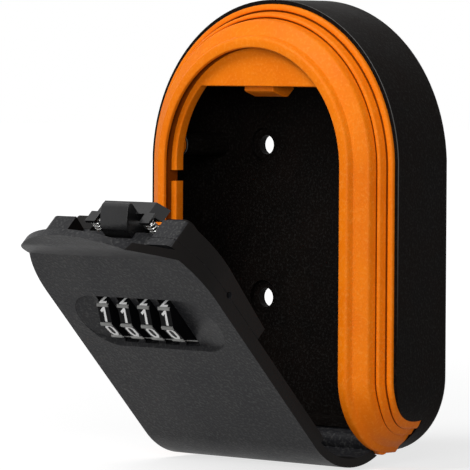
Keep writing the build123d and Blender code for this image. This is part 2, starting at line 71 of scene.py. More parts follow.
# How an outline's two axes and its third one lie in the box's frame:
# ACROSS takes depth, height and width, and FORWARD takes width, height and depth
ACROSS = Matrix(((0, 0, 1, 0), (1, 0, 0, 0), (0, 1, 0, 0), (0, 0, 0, 1)))
FORWARD = Matrix(((1, 0, 0, 0), (0, 0, 1, 0), (0, 1, 0, 0), (0, 0, 0, 1)))


def linear(code: str) -> tuple[float, float, float, float]:
    """Turn an sRGB hex colour into the linear colour that shaders read.

    Args:
        code: six hex digits, such as "#F57A14".

    Returns:
        The linear red, green, blue and an alpha of 1.
    """
    values = [int(code[i:i + 2], 16) / 255 for i in (1, 3, 5)]
    line = [v / 12.92 if v <= 0.04045 else ((v + 0.055) / 1.055) ** 2.4 for v in values]
    return (line[0], line[1], line[2], 1.0)


@dataclass
class NodeBook:
    """A node tree, with one small way to add nodes and fill their inputs."""

    tree: bpy.types.NodeTree

    def fill(self, node: bpy.types.Node, **links: object) -> bpy.types.Node:
        """Fill or link a node's inputs.

        Args:
            node: the node.
            links: a value or a socket for each input, by its name with underscores for spaces, or by
                its number after an underscore.

        Returns:
            The same node.
        """
        for name, value in links.items():
            socket = node.inputs[int(name[1:])] if name[0] == "_" else node.inputs[name.replace("_", " ")]
            if isinstance(value, bpy.types.NodeSocket):
                self.tree.links.new(value, socket)
            else:
                socket.default_value = value
        return node

    def add(self, kind: str, settings: dict | None = None, **links: object) -> bpy.types.Node:
        """Add a node with its settings and links.

        Args:
            kind: the node's Blender type.
            settings: attributes set on the node itself.
            links: as fill takes them.

        Returns:
            The new node.
        """
        node = self.tree.nodes.new(kind)
        for name, value in (settings or {}).items():
            setattr(node, name, value)
        return self.fill(node, **links)


class Side(Enum):
    """Which side of the box a mirrored form lies on, as the sign of its x."""

    LEFT = -1
    RIGHT = 1


@dataclass(frozen=True)
class Coating:
    """A painted or powder-coated casting.

    The coat has a fine orange-peel texture that breaks up its highlights, and slightly darker
    patches. Some coats also have light specks on their grain, or a painted highlight: a light
    band along one edge.
    """

    name: str
    colour: str
    shade: str
    roughness: float
    grain_mm: float
    grain_height: float
    speck_and_highlight: str = "#6A6A68"
    gloss: float = 0.5
    speck: float = 0.0
    lip_highlight_y: tuple[float, float] | None = None
    lip_highlight_fade_z: tuple[float, float] = (-0.03, 0.015)
    patch_scale: float = 90.0
    patch_range: tuple[float, float] = (0.35, 0.68)
    speck_range: tuple[float, float] = (0.5, 0.72)
    rough_range: tuple[float, float] = (0.3, 0.7)
    rough_spread: tuple[float, float] = (-0.05, 0.06)
    grain_depth_mm: float = 0.1

    def material(self) -> bpy.types.Material:
        """Build the coat as a procedural material.

        Returns:
            The finished material.
        """
        material = bpy.data.materials.new(self.name)
        material.use_nodes = True
        book = NodeBook(material.node_tree)
        place = book.add("ShaderNodeTexCoord").outputs["Object"]
        blend = {"data_type": "RGBA"}
        cloud = {"Scale": self.patch_scale, "Detail": 3.0, "Roughness": 0.6}
        mottle = book.add("ShaderNodeTexNoise", Vector=place, **cloud).outputs[0]
        low, high = self.patch_range
        patch = book.add("ShaderNodeMapRange", Value=mottle, From_Min=low, From_Max=high).outputs[0]
        shades = {"_6": linear(self.shade), "_7": linear(self.colour)}
        colour = book.add("ShaderNodeMix", blend, _0=patch, **shades).outputs[2]
        fine = {"Scale": 1000.0 / self.grain_mm, "Detail": 2.0}
        grain = book.add("ShaderNodeTexNoise", Vector=place, **fine).outputs[0]
        speck_and_highlight_tone = {"_7": linear(self.speck_and_highlight)}
        if self.speck:
            low, high = self.speck_range
            spots = book.add("ShaderNodeMapRange", Value=grain, From_Min=low, From_Max=high, To_Max=self.speck)
            colour = book.add("ShaderNodeMix", blend, _0=spots.outputs[0], _6=colour, **speck_and_highlight_tone).outputs[2]
        # A painted highlight: a light band across a span of y, fading out towards the bottom
        if self.lip_highlight_y:
            spot = book.add("ShaderNodeSeparateXYZ", Vector=place).outputs
            middle, reach = sum(self.lip_highlight_y) / 2 * MM, (self.lip_highlight_y[1] - self.lip_highlight_y[0]) / 2 * MM
            band = book.add("ShaderNodeMath", {"operation": "COMPARE"}, _0=spot["Y"], _1=middle, _2=reach)
            low, high = self.lip_highlight_fade_z
            fade = book.add("ShaderNodeMapRange", Value=spot["Z"], From_Min=low, From_Max=high).outputs[0]
            lip_highlight = book.add("ShaderNodeMath", {"operation": "MULTIPLY"}, _0=band.outputs[0], _1=fade)
            colour = book.add("ShaderNodeMix", blend, _0=lip_highlight.outputs[0], _6=colour, **speck_and_highlight_tone).outputs[2]
        depth = self.grain_depth_mm * MM
        bump = book.add("ShaderNodeBump", Height=grain, Strength=self.grain_height, Distance=depth)
        low, high = self.rough_range
        rough = book.add("ShaderNodeMapRange", Value=mottle, From_Min=low, From_Max=high)
        smooth, dull = self.rough_spread
        book.fill(rough, To_Min=self.roughness + smooth, To_Max=self.roughness + dull)
        shader = book.fill(material.node_tree.nodes["Principled BSDF"], Base_Color=colour, IOR=1.5)
        book.fill(shader, Roughness=rough.outputs[0], Normal=bump.outputs[0], Specular_IOR_Level=self.gloss)
        return material


@dataclass(frozen=True)
class BareMetal:
    """A bare metal: cast, drawn or turned, told apart by how its fine marks run."""

    name: str
    colour: str
    shade: str
    roughness: float
    mark_mm: float
    stretch: tuple[float, float, float] = (1.0, 1.0, 1.0)
    rough_spread: tuple[float, float] = (-0.08, 0.1)
    mark_height: float = 0.15
    mark_depth_mm: float = 0.05

    def material(self) -> bpy.types.Material:
        """Build the metal as a procedural material.

        Returns:
            The finished material.
        """
        material = bpy.data.materials.new(self.name)
        material.use_nodes = True
        book = NodeBook(material.node_tree)
        place = book.add("ShaderNodeTexCoord").outputs["Object"]
        spread = book.add("ShaderNodeMapping", Vector=place, Scale=self.stretch).outputs["Vector"]
        fine = {"Scale": 1000.0 / self.mark_mm, "Detail": 4.0}
        marks = book.add("ShaderNodeTexNoise", Vector=spread, **fine).outputs[0]
        shades = {"_6": linear(self.shade), "_7": linear(self.colour)}
        colour = book.add("ShaderNodeMix", {"data_type": "RGBA"}, _0=marks, **shades).outputs[2]
        rough = book.add("ShaderNodeMapRange", Value=marks)
        smooth, dull = self.rough_spread
        book.fill(rough, To_Min=self.roughness + smooth, To_Max=self.roughness + dull)
        depth = self.mark_depth_mm * MM
        bump = book.add("ShaderNodeBump", Height=marks, Strength=self.mark_height, Distance=depth)
        shader = book.fill(material.node_tree.nodes["Principled BSDF"], Base_Color=colour, Metallic=1.0)
        book.fill(shader, Roughness=rough.outputs[0], Normal=bump.outputs[0])
        return material


@dataclass
class Finishes:
    """Every finish of the box, built once and shared by its pieces."""

    # Powder coat on the cast shell: matt near black, so that its side reads as one dark plane, with
    # a painted highlight: a thin lighter band along the lip, fading out towards the bottom
    shell: bpy.types.Material = field(init=False)
    # Enamel sprayed on the cast frame: satin, with a broad soft highlight and a fine light grain
    orange: bpy.types.Material = field(init=False)
    # Painted shade: the same enamel, darker and dull, laid in the grooves so that they read as dark lines
    groove: bpy.types.Material = field(init=False)
    # Powder coat on the cast door: charcoal, with pale specks that break up the light on its face
    door: bpy.types.Material = field(init=False)
    # Dark coat of the lock cover, also laid on the door's sides, foot and back, partly as painted shade: dull
    # and faintly brown, so that hollows and turned-away faces stay dark
    inner: bpy.types.Material = field(init=False)
    # Moulded acetal of the wheels: even black with a weak sheen, a quiet ground for the numbers
    dial: bpy.types.Material = field(init=False)
    # Pale grey on the wheels' ridges, a painted highlight for the light their raised tops catch, so that one
    # number is told from the next
    ridge: bpy.types.Material = field(init=False)
    # Paint printed on the numbers: flat white, so that they are read at a glance
    ink: bpy.types.Material = field(init=False)
    # Lacquer over the latch's cast zinc: black, with the sharpest glint of the coated pieces
    cast: bpy.types.Material = field(init=False)
    # Ground steel of the pins and plates: bright, with fine lines that run along the hinge
    steel: bpy.types.Material = field(init=False)
    # Drawn spring wire: the brightest metal, so that each turn catches a glint of its own
    spring: bpy.types.Material = field(init=False)
    # Zinc plate on the screws: mid grey and slightly clouded, so that they stay in the background
    screw: bpy.types.Material = field(init=False)
    # Turned brass of the cams: warm, with fine lines along their axle that soften the shine
    brass: bpy.types.Material = field(init=False)

    def __post_init__(self) -> None:
        """Build the materials."""
        self.shell = Coating(
            "black powder coat", "#0F0B09", "#090706", 0.55, 0.6, 0.6,
            # The light band along the lip is a painted highlight
            gloss=0.03, speck=0.06, lip_highlight_y=(-19.95, -19.6),
        ).material()
        self.orange = Coating(
            "orange enamel", "#F68008", "#EF7605", 0.5, 0.8, 0.4, speck_and_highlight="#FF9A38", gloss=0.12, speck=0.35
        ).material()
        self.groove = Coating(
            "orange enamel painted darker as groove shade", "#8E3F05", "#7C3604", 0.6, 0.8, 0.3, gloss=0.05
        ).material()
        self.door = Coating(
            "charcoal powder coat", "#1E1E21", "#161618", 0.45, 0.7, 1.0, gloss=0.14, speck=0.25
        ).material()
        self.inner = Coating("black inner coat and painted side shade", "#0F0C0B", "#0A0807", 0.45, 0.7, 0.4, gloss=0.08).material()
        self.dial = Coating("black acetal", "#08080A", "#050506", 0.4, 2.0, 0.04, gloss=0.06).material()
        self.ridge = Coating("pale ridge grey as painted highlight", "#A2A2A0", "#8A8A88", 0.5, 0.6, 0.2, gloss=0.2).material()
        self.ink = Coating("white number paint", "#FFFFFF", "#F6F6F4", 0.4, 1.0, 0.05).material()
        self.cast = Coating(
            "black lacquered zinc", "#161617", "#0E0E0F", 0.25, 0.8, 0.25, gloss=0.35
        ).material()
        self.steel = BareMetal("ground steel", "#C6C6C4", "#A8A8A6", 0.25, 0.5, (1.0, 4.0, 4.0)).material()
        self.spring = BareMetal("spring wire", "#DADAD8", "#C2C2C0", 0.18, 0.4).material()
        self.screw = BareMetal("zinc plated screw", "#8C8C8C", "#6C6C6E", 0.35, 0.6).material()
        self.brass = BareMetal("turned brass", "#C9A24B", "#A98336", 0.3, 0.5, (1.0, 5.0, 5.0)).material()


def dress(node: str, material: bpy.types.Material) -> None:
    """Give a carried-over solid its finish.

    Args:
        node: the node's name.
        material: the finish.
    """
    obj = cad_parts[node]
    obj.data.materials.clear()
    obj.data.materials.append(material)
    LOG.info("dressed %s in %s", node, material.name)


@dataclass(frozen=True)
class DoorPlace:
    """Turns a point of the dropped door into the box's own frame, and carries meshes there.

    On the door x runs along the hinge from the lock's middle, y up the door and z out of its face.
    """

    lean: float = radians(43.8)
    middle: float = -1.6
    hinge: tuple[float, float] = (-10.8, -55.15)
    axle: tuple[float, float] = (60.5, 11.6)

    def matrix(self, x: float, y: float, z: float) -> Matrix:
        """The place of a point of the door, with the door's axes.

        Args:
            x: along the hinge, in millimetres.
            y: up the door.
            z: out of its face.

        Returns:
            A matrix that takes metres on the door to metres in the box's frame.
        """
        up = Vector((0, -sin(self.lean), cos(self.lean)))
        out = Vector((0, -cos(self.lean), -sin(self.lean)))
        origin = Vector((self.middle, self.hinge[0], self.hinge[1]))
        place = origin + Vector((x, 0, 0)) + up * y + out * z
        turn = Matrix((Vector((1, 0, 0)), up, out)).transposed().to_4x4()
        return Matrix.Translation(place * MM) @ turn


class Shape:
    """A mesh under construction, in millimetres until it is placed."""

    weld_mm = 0.0005

    def __init__(self) -> None:
        """Start an empty mesh."""
        self.mesh = bmesh.new()

    def sweep(
        self,
        rings: list[list[Vector]],
        closed: bool = True,
        caps: bool = True,
        coats: list[int] | None = None,
    ) -> None:
        """Join rings of points into a skin.

        Args:
            rings: rings with the same number of points each.
            closed: whether each ring joins back to its first point.
            caps: whether the two ends are filled.
            coats: the material slot of each strip along the skin, if not the first.
        """
        rows = [[self.mesh.verts.new(point) for point in ring] for ring in rings]
        count = len(rows[0])
        for low, high in zip(rows, rows[1:]):
            for i in range(count if closed else count - 1):
                j = (i + 1) % count
                face = self.mesh.faces.new((low[i], low[j], high[j], high[i]))
                face.material_index = coats[i] if coats else 0
        if caps:
            self.mesh.faces.new(rows[0])
            self.mesh.faces.new(rows[-1])

    def prism(self, outline: list[tuple[float, float]], low: float, high: float, place: Matrix) -> None:
        """Raise a flat outline into a solid.

        Args:
            outline: points of the outline, in millimetres.
            low: where it starts along the third axis.
            high: where it ends.
            place: takes the outline's two axes and its third one to the box's frame.
        """
        rings = [[place @ Vector((x, y, level)) for x, y in outline] for level in (low, high)]
        self.sweep(rings)

    def ribbon(self, path: list[Vector], width: float, low: float, high: float) -> None:
        """Draw a flat stroke of even width along a path, with mitred turns.

        Args:
            path: the stroke's middle line. A path that ends where it starts is closed.
            width: the stroke's width.
            low: where it starts along the third axis.
            high: where it ends.
        """
        closed = (path[0] - path[-1]).length < 1e-6
        points = path[:-1] if closed else path
        rings = []
        for i, point in enumerate(points):
            before = points[i - 1] if closed or i > 0 else None
            after = points[(i + 1) % len(points)] if closed or i < len(points) - 1 else None
            first = before is None
            come = (after - point).normalized() if first else (point - before).normalized()
            go = (after - point).normalized() if after is not None else come
            along = (come + go).normalized()
            side = Vector((-along.y, along.x)) * (width / 2 / max(0.5, come.dot(along)))
            left, right = point + side, point - side
            under = [Vector((*left, low)), Vector((*right, low))]
            rings.append([*under, Vector((*right, high)), Vector((*left, high))])
        if closed:
            rings.append(rings[0])
        self.sweep(rings, caps=not closed)

    def finish(
        self, name: str, materials: list[bpy.types.Material], place: Matrix | None = None
    ) -> bpy.types.Object:
        """Close the mesh and make it an object.

        Args:
            name: the object's name.
            materials: its material slots, in order.
            place: where it goes, in metres; without one its points are already in the box's frame.

        Returns:
            The new object, at the origin with its place in its mesh.
        """
        bmesh.ops.remove_doubles(self.mesh, verts=self.mesh.verts, dist=self.weld_mm)
        bmesh.ops.recalc_face_normals(self.mesh, faces=self.mesh.faces)
        bmesh.ops.scale(self.mesh, vec=(MM, MM, MM), verts=self.mesh.verts)
        if place is not None:
            bmesh.ops.transform(self.mesh, matrix=place, verts=self.mesh.verts)
        data = bpy.data.meshes.new(name)
        self.mesh.to_mesh(data)
        self.mesh.free()
        for material in materials:
            data.materials.append(material)
        obj = bpy.data.objects.new(name, data)
        bpy.context.scene.collection.objects.link(obj)
        return obj


def soften(obj: bpy.types.Object, width_mm: float, segments: int = 2, angle: float = 30.0) -> None:
    """Round an object's sharp edges and shade it smooth.

    Args:
        obj: the object.
        width_mm: how wide each rounded edge is.
        segments: how many faces round it.
        angle: edges sharper than this are rounded, in degrees.
    """
    bevel = obj.modifiers.new("soft edges", "BEVEL")
    bevel.width = width_mm * MM
    bevel.segments = segments
    bevel.limit_method = "ANGLE"
    bevel.angle_limit = radians(angle)
    for face in obj.data.polygons:
        face.use_smooth = True
    shading = obj.modifiers.new("flat faces stay flat", "WEIGHTED_NORMAL")
    shading.mode = "FACE_AREA"
    shading.weight = 100


def rounded(corners: list[tuple[float, float, float]], steps: int = 4) -> list[tuple[float, float]]:
    """Round the corners of a closed outline.

    Args:
        corners: each corner's two coordinates and its radius.
        steps: how many straight bits make each rounded corner.

    Returns:
        The outline's points.
    """
    points = []
    for i, (x, y, radius) in enumerate(corners):
        here = Vector((x, y))
        before = Vector(corners[i - 1][:2]) - here
        after = Vector(corners[(i + 1) % len(corners)][:2]) - here
        if radius == 0:
            points.append((x, y))
            continue
        half = before.angle(after) / 2
        shorter = min(before.length * 0.48, after.length * 0.48)
        reach = min(radius / max(0.05, abs(sin(half) / cos(half))), shorter)
        start, end = here + before.normalized() * reach, here + after.normalized() * reach
        for k in range(steps + 1):
            t = k / steps
            spot = start * (1 - t) ** 2 + here * (2 * t * (1 - t)) + end * t**2
            points.append((spot.x, spot.y))
    return points


def soft_copy(
    name: str, node: str, material: bpy.types.Material, body: str, width_mm: float
) -> bpy.types.Object:
    """Stand a copy with rounded edges in for a carried-over solid.

    Args:
        name: the new piece's name.
        node: the node that it stands for.
        material: its finish.
        body: the body that it rides on.
        width_mm: how wide its rounded edges are.

    Returns:
        The new piece.
    """
    mesh = bmesh.new()
    mesh.from_mesh(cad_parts[node].data)
    bmesh.ops.remove_doubles(mesh, verts=mesh.verts, dist=WELD)
    flat = radians(FLAT_ANGLE)
    bmesh.ops.dissolve_limit(mesh, angle_limit=flat, verts=mesh.verts, edges=mesh.edges)
    data = bpy.data.meshes.new(name)
    mesh.to_mesh(data)
    mesh.free()
    data.materials.append(material)
    piece = bpy.data.objects.new(name, data)
    bpy.context.scene.collection.objects.link(piece)
    soften(piece, width_mm, angle=EDGE_ANGLE)
    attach(piece, body)
    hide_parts(node)
    LOG.info("softened %s", node)
    return piece


def coat_and_shade_sides(
    piece: bpy.types.Object, door: DoorPlace, least: float, material: bpy.types.Material
) -> None:
    """Give the sides, the foot and the back of a piece of the door a darker finish: partly a darker coat,
    partly painted shade on faces that turn from the light.

    Args:
        piece: the door's piece.
        door: where the door is.
        least: faces that look out of the door less than this, as a cosine, and not up it, are painted darker.
        material: the darker finish, which also paints the shade.
    """
    piece.data.materials.append(material)
    turn = door.matrix(0, 0, 0).to_3x3()
    out, up = turn @ Vector((0, 0, 1)), turn @ Vector((0, 1, 0))
    for face in piece.data.polygons:
        if face.normal.dot(out) < least and face.normal.dot(up) < TOP_LEAST:
            face.material_index = 1


class GeometryTree(NodeBook):
    """A Geometry Nodes tree with named inputs."""

    def __init__(self, name: str, inputs: dict[str, str]) -> None:
        """Make the tree with its named inputs and its geometry output.

        Args:
            name: the tree's name.
            inputs: each input's name and socket type.
        """
        super().__init__(bpy.data.node_groups.new(name, "GeometryNodeTree"))
        for given, kind in inputs.items():
            self.tree.interface.new_socket(given, in_out="INPUT", socket_type=kind)
        self.tree.interface.new_socket("Geometry", in_out="OUTPUT", socket_type="NodeSocketGeometry")
        self.source = self.tree.nodes.new("NodeGroupInput")
        self.result = self.tree.nodes.new("NodeGroupOutput")

    def close(self, geometry: bpy.types.NodeSocket) -> None:
        """End the tree: real geometry in the material that was asked for.

        Args:
            geometry: what the tree has made.
        """
        real = self.add("GeometryNodeRealizeInstances", Geometry=geometry).outputs[0]
        made = self.add("GeometryNodeSetMaterial", Geometry=real, Material=self.source.outputs["Material"])
        self.tree.links.new(made.outputs[0], self.result.inputs[0])

    def bake(self, values: dict[str, object], place: Matrix) -> bpy.types.Mesh:
        """Run the tree once and keep what it makes as a plain mesh.

        Args:
            values: a value for each named input.
            place: where the result goes, in metres.

        Returns:
            The plain mesh, in its place.
        """
        obj = bpy.data.objects.new(self.tree.name, bpy.data.meshes.new(self.tree.name))
        bpy.context.scene.collection.objects.link(obj)
        modifier = obj.modifiers.new(self.tree.name, "NODES")
        modifier.node_group = self.tree
        for item in self.tree.interface.items_tree:
            if item.in_out == "INPUT" and item.name in values:
                modifier[item.identifier] = values[item.name]
        whole = obj.evaluated_get(bpy.context.evaluated_depsgraph_get())
        mesh = bpy.data.meshes.new_from_object(whole)
        mesh.transform(place)
        bpy.data.objects.remove(obj)
        return mesh


def ridge_tree() -> GeometryTree:
    """The tree that sets bars with rounded edges round a wheel.

    Returns:
        The finished tree.
    """
    tree = GeometryTree("ridges", {
        "Count": "NodeSocketInt", "Radius": "NodeSocketFloat", "Length": "NodeSocketFloat",
        "Width": "NodeSocketFloat", "Height": "NodeSocketFloat", "Fillet": "NodeSocketFloat",
        "Material": "NodeSocketMaterial",
    })
    given = tree.source.outputs
    circle = tree.add("GeometryNodeMeshCircle", Vertices=given["Count"], Radius=given["Radius"])
    half = tree.add("ShaderNodeMath", {"operation": "MULTIPLY"}, _0=given["Length"], _1=0.5)
    back = tree.add("ShaderNodeMath", {"operation": "MULTIPLY"}, _0=given["Length"], _1=-0.5)
    start = tree.add("ShaderNodeCombineXYZ", Z=back.outputs[0])
    end = tree.add("ShaderNodeCombineXYZ", Z=half.outputs[0])
    line = tree.add("GeometryNodeCurvePrimitiveLine", Start=start.outputs[0], End=end.outputs[0])
    sides = {"Width": given["Width"], "Height": given["Height"]}
    bar = tree.add("GeometryNodeCurvePrimitiveQuadrilateral", **sides)
    soft = tree.add("GeometryNodeFilletCurve", {"mode": "POLY"}, Curve=bar.outputs[0], Count=2)
    tree.fill(soft, Radius=given["Fillet"])
    ridge = tree.add("GeometryNodeCurveToMesh", Curve=line.outputs[0], Profile_Curve=soft.outputs[0])
    tree.fill(ridge, Fill_Caps=True)
    step = tree.add("ShaderNodeMath", {"operation": "DIVIDE"}, _0=2 * pi, _1=given["Count"])
    index = tree.add("GeometryNodeInputIndex")
    angle = tree.add("ShaderNodeMath", {"operation": "MULTIPLY"}, _0=step.outputs[0], _1=index.outputs[0])
    turn = tree.add("ShaderNodeCombineXYZ", Z=angle.outputs[0])
    ring = tree.add("GeometryNodeInstanceOnPoints", Points=circle.outputs[0], Instance=ridge.outputs[0])
    tree.tree.links.new(turn.outputs[0], ring.inputs["Rotation"])
    tree.close(ring.outputs[0])
    return tree


def spring_tree() -> GeometryTree:
    """The tree that winds a spring of even pitch.

    Returns:
        The finished tree.
    """
    tree = GeometryTree("spring", {
        "Turns": "NodeSocketFloat", "Radius": "NodeSocketFloat", "Length": "NodeSocketFloat",
        "Wire": "NodeSocketFloat", "Material": "NodeSocketMaterial",
    })
    given = tree.source.outputs
    spiral = tree.add("GeometryNodeCurveSpiral", Resolution=20, Rotations=given["Turns"])
    for name in ("Start Radius", "End Radius"):
        tree.tree.links.new(given["Radius"], spiral.inputs[name])
    tree.tree.links.new(given["Length"], spiral.inputs["Height"])
    wire = tree.add("GeometryNodeCurvePrimitiveCircle", Resolution=8, Radius=given["Wire"])
    tube = tree.add("GeometryNodeCurveToMesh", Curve=spiral.outputs[0], Profile_Curve=wire.outputs[0])
    tree.fill(tube, Fill_Caps=True)
    smooth = tree.add("GeometryNodeSetShadeSmooth", Geometry=tube.outputs[0])
    tree.close(smooth.outputs[0])
    return tree


def join(name: str, meshes: list[bpy.types.Mesh]) -> bpy.types.Object:
    """Make one object of several placed meshes, keeping their materials.

    Args:
        name: the object's name.
        meshes: the meshes, in the box's frame.

    Returns:
        The new object.
    """
    materials = []
    whole = bmesh.new()
    for mesh in meshes:
        first = len(whole.faces)
        whole.from_mesh(mesh)
        whole.faces.ensure_lookup_table()
        slots = []
        for material in mesh.materials:
            if material not in materials:
                materials.append(material)
            slots.append(materials.index(material))
        for face in whole.faces[first:]:
            face.material_index = slots[face.material_index]
    data = bpy.data.meshes.new(name)
    whole.to_mesh(data)
    whole.free()
    for material in materials:
        data.materials.append(material)
    obj = bpy.data.objects.new(name, data)
    bpy.context.scene.collection.objects.link(obj)
    return obj


@dataclass
class FrontFrame:
    """The orange frame: beaded rim, sloping face and rolled lip, turned under the bottom at its feet.

    The section turns about the wrap axis. Each line of it starts to draw in below that axis by a
    fixed drop and a share of how far it lies in from the rim; the larger of the two pairs counts.
    """

    finish: bpy.types.Material
    # The darker enamel that paints shade into the grooves and notches
    groove: bpy.types.Material
    arch_z: float = 15.15
    wrap_y: float = -8.5
    wrap_z: float = -37.35
    parting_y: float = -6.1
    rim_half: float = 41.4
    crest: float = 20.0
    corner: float = 19.0
    corner_share: float = 0.25
    outer_start: tuple[float, float] = (2.0, 0.95)
    inner_start: tuple[float, float] = (-0.2, 1.35)
    foot_flare: float = 0.145
    flare_margin: float = 0.3
    arch_steps: int = 32
    side_steps: int = 4
    foot_steps: int = 18
    sharp_angle: float = 60.0
    opening_half: float = 30.2
    # Spans of half-width and reach (two bead grooves and the undercut behind the lip) painted darker as shade
    grooves: tuple[tuple[float, float, float, float], ...] = (
        (39.3, 39.95, 11.0, 12.2), (37.5, 38.1, 13.0, 14.1), (30.3, 32.6, 17.0, 18.9),
    )
    cap_chord_z: float = 35.45
    cap_y: tuple[float, float] = (-25.63, -23.1)
    cap_overlap: float = 0.1
    cap_steps: int = 40
    cap_edge: float = 0.3
    strike: tuple[tuple[float, float], ...] = (
        (-23.5, 38.5), (-23.5, 34.3), (-22.8, 33.9), (-19.6, 32.85), (-17.6, 32.85),
        (-15.4, 34.75), (-15.4, 38.5),
    )
    lock_x: float = -1.6
    strike_half: float = 5.0
    hinge: tuple[float, float] = (-10.8, -55.15)
    lug: tuple[float, float, float] = (28.3, 30.4, 2.6)
    posts: tuple[tuple[float, float], ...] = ((-33, -24), (-33, 20), (33, -24), (33, 20))
    post_radius: float = 3.0
    post_y: tuple[float, float] = (-20.1, -22.9)
    notch_x: tuple[float, float] = (27.0, 31.1)
    notch_y: tuple[float, float] = (-26.5, -21.5)
    notch_z: tuple[float, float] = (10.7, 13.5)

    def section(self) -> list[tuple[float, float]]:
        """The frame's section as half-width and reach, beads and grooves rounded.

        Returns:
            The closed outline.
        """
        beads = [(41.4, 8.6, 0), (41.4, 12.3, 1.2), (39.9, 12.45, 0.9), (39.6, 11.6, 0.12), (39.4, 12.4, 0)]
        beads += [(38.95, 14.2, 1.0), (38.1, 14.45, 0.7), (37.8, 13.5, 0.12), (37.66, 14.25, 0)]
        face = [(37.25, 16.4, 1.2), (33.5, 18.1, 0.5), (32.9, 20.0, 1.2), (30.2, 20.0, 0.5)]
        groove = [(30.2, 19.0, 0.15), (32.4, 18.6, 0.15), (32.4, 17.1, 0.1), (30.2, 17.1, 0)]
        ledge = [*groove, (28.5, 17.1, 0.3), (28.5, 14.4, 0.3)]
        inside = [(34.8, 13.2, 0.6), (36.4, 11.2, 0.6), (36.4, 8.6, 0)]
        return rounded([*beads, *face, *ledge, *inside])

    def drawn_in(self, half: float, reach: float, angle: float) -> float:
        """Where a point of the section lies once it has turned by angle under the bottom.

        Args:
            half: the point's half-width on the straight sides.
            reach: how far it stands before the wrap axis.
            angle: how far it has turned, in radians.

        Returns:
            Its half-width there.
        """
        inward = self.rim_half - half
        corner = self.corner - self.corner_share * inward
        (outer, outer_share), (inner, inner_share) = self.outer_start, self.inner_start
        start = self.wrap_z - max(outer + outer_share * inward, inner_share * inward + inner)
        drop = max(0.0, start - (self.wrap_z - reach * sin(angle)))
        if half <= self.opening_half:
            drop = 0.0
        return half - corner + sqrt(corner**2 - drop**2)

    def stations(self) -> list[list[Vector]]:
        """The section at every step along the frame, from one foot over the arch to the other.

        Returns:
            One ring of points for each step.
        """
        section = self.section()
        half_way = []
        for k in range(self.arch_steps + 1):
            turn = pi / 2 * (1 - k / self.arch_steps)
            over, rise = cos(turn), sin(turn)
            half_way.append([(h * over, self.wrap_y - r, self.arch_z + h * rise) for h, r in section])
        for k in range(1, self.side_steps + 1):
            level = self.arch_z + (self.wrap_z - self.arch_z) * k / self.side_steps
            half_way.append([(h, self.wrap_y - r, level) for h, r in section])
        for k in range(1, self.foot_steps + 1):
            angle = pi / 2 * k / self.foot_steps
            ring = []
            for half, reach in section:
                flared = half > self.opening_half + self.flare_margin
                low = reach + (self.foot_flare * (self.crest - reach) if flared else 0)
                x = self.drawn_in(half, low, angle)
                ring.append((x, self.wrap_y - reach * cos(angle), self.wrap_z - low * sin(angle)))
            half_way.append(ring)
        half_way.append([(x, self.parting_y, z) for x, _, z in half_way[-1]])
        right = [[Vector(point) for point in ring] for ring in half_way]
        left = [[Vector((-point.x, point.y, point.z)) for point in ring] for ring in right[:0:-1]]
        return left + right

    def disc(self, centre: tuple[float, float], radius: float, count: int = 32) -> list[tuple[float, float]]:
        """The outline of a round lug or post.

        Args:
            centre: its middle.
            radius: its radius.
            count: how many sides it has.

        Returns:
            The outline's points.
        """
        turns = [2 * pi * k / count for k in range(count)]
        return [(centre[0] + radius * cos(t), centre[1] + radius * sin(t)) for t in turns]

    def coats(self) -> list[int]:
        """Which strips along the frame take the painted groove shade.

        Returns:
            A material slot for each point of the section: 1 (painted shade) within the grooves, 0 elsewhere.
        """
        section = self.section()
        slots = []
        for (half, reach), (next_half, next_reach) in zip(section, section[1:] + section[:1]):
            half, reach = (half + next_half) / 2, (reach + next_reach) / 2
            inside = [a < half < b and low < reach < high for a, b, low, high in self.grooves]
            slots.append(int(any(inside)))
        return slots

    def cut_notches(self, body: bpy.types.Object) -> None:
        """Cut the two small notches in the ledge inside the opening.

        Args:
            body: the beaded frame.
        """
        notches = Shape()
        (back, front), (low, high) = self.notch_y, self.notch_z
        corners = [(back, low), (front, low), (front, high), (back, high)]
        for side in Side:
            notches.prism(corners, *(side.value * x for x in self.notch_x), ACROSS)
        cutter = notches.finish("notches", [self.finish, self.groove])
        # The notches' walls take the darker groove enamel: painted shade in the recess
        for face in cutter.data.polygons:
            face.material_index = 1
        cut = body.modifiers.new("notches", "BOOLEAN")
        cut.operation = "DIFFERENCE"
        cut.object = cutter
        mesh = bpy.data.meshes.new_from_object(body.evaluated_get(bpy.context.evaluated_depsgraph_get()))
        body.modifiers.remove(cut)
        body.data = mesh
        bpy.data.objects.remove(cutter)

    def build(self) -> None:
        """Build the frame and let it stand for the carried-over one."""
        beads = Shape()
        beads.sweep(self.stations(), coats=self.coats())
        body = beads.finish("frame_beads", [self.finish, self.groove])
        self.cut_notches(body)
        body.data.shade_smooth()
        body.data.set_sharp_from_angle(angle=radians(self.sharp_angle))
        parts = Shape()
        reach = self.opening_half + self.cap_overlap
        rise = self.cap_chord_z - self.arch_z
        low = atan2(rise, sqrt(reach**2 - rise**2))
        turns = [low + (pi - 2 * low) * k / self.cap_steps for k in range(self.cap_steps + 1)]
        dome = [(reach * cos(t), self.arch_z + reach * sin(t)) for t in turns]
        parts.prism(dome, *self.cap_y, FORWARD)
        left, right = self.lock_x - self.strike_half, self.lock_x + self.strike_half
        parts.prism(list(self.strike), left, right, ACROSS)
        for side in Side:
            ends = [side.value * self.lug[0], side.value * self.lug[1]]
            parts.prism(self.disc(self.hinge, self.lug[2]), *ends, ACROSS)
        for post in self.posts:
            parts.prism(self.disc(post, self.post_radius), *self.post_y, FORWARD)
        cap = parts.finish("latch_cap", [self.finish])
        soften(cap, self.cap_edge)
        for piece in (body, cap):
            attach(piece, "case")
            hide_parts("front_frame")
        LOG.info("front frame built")


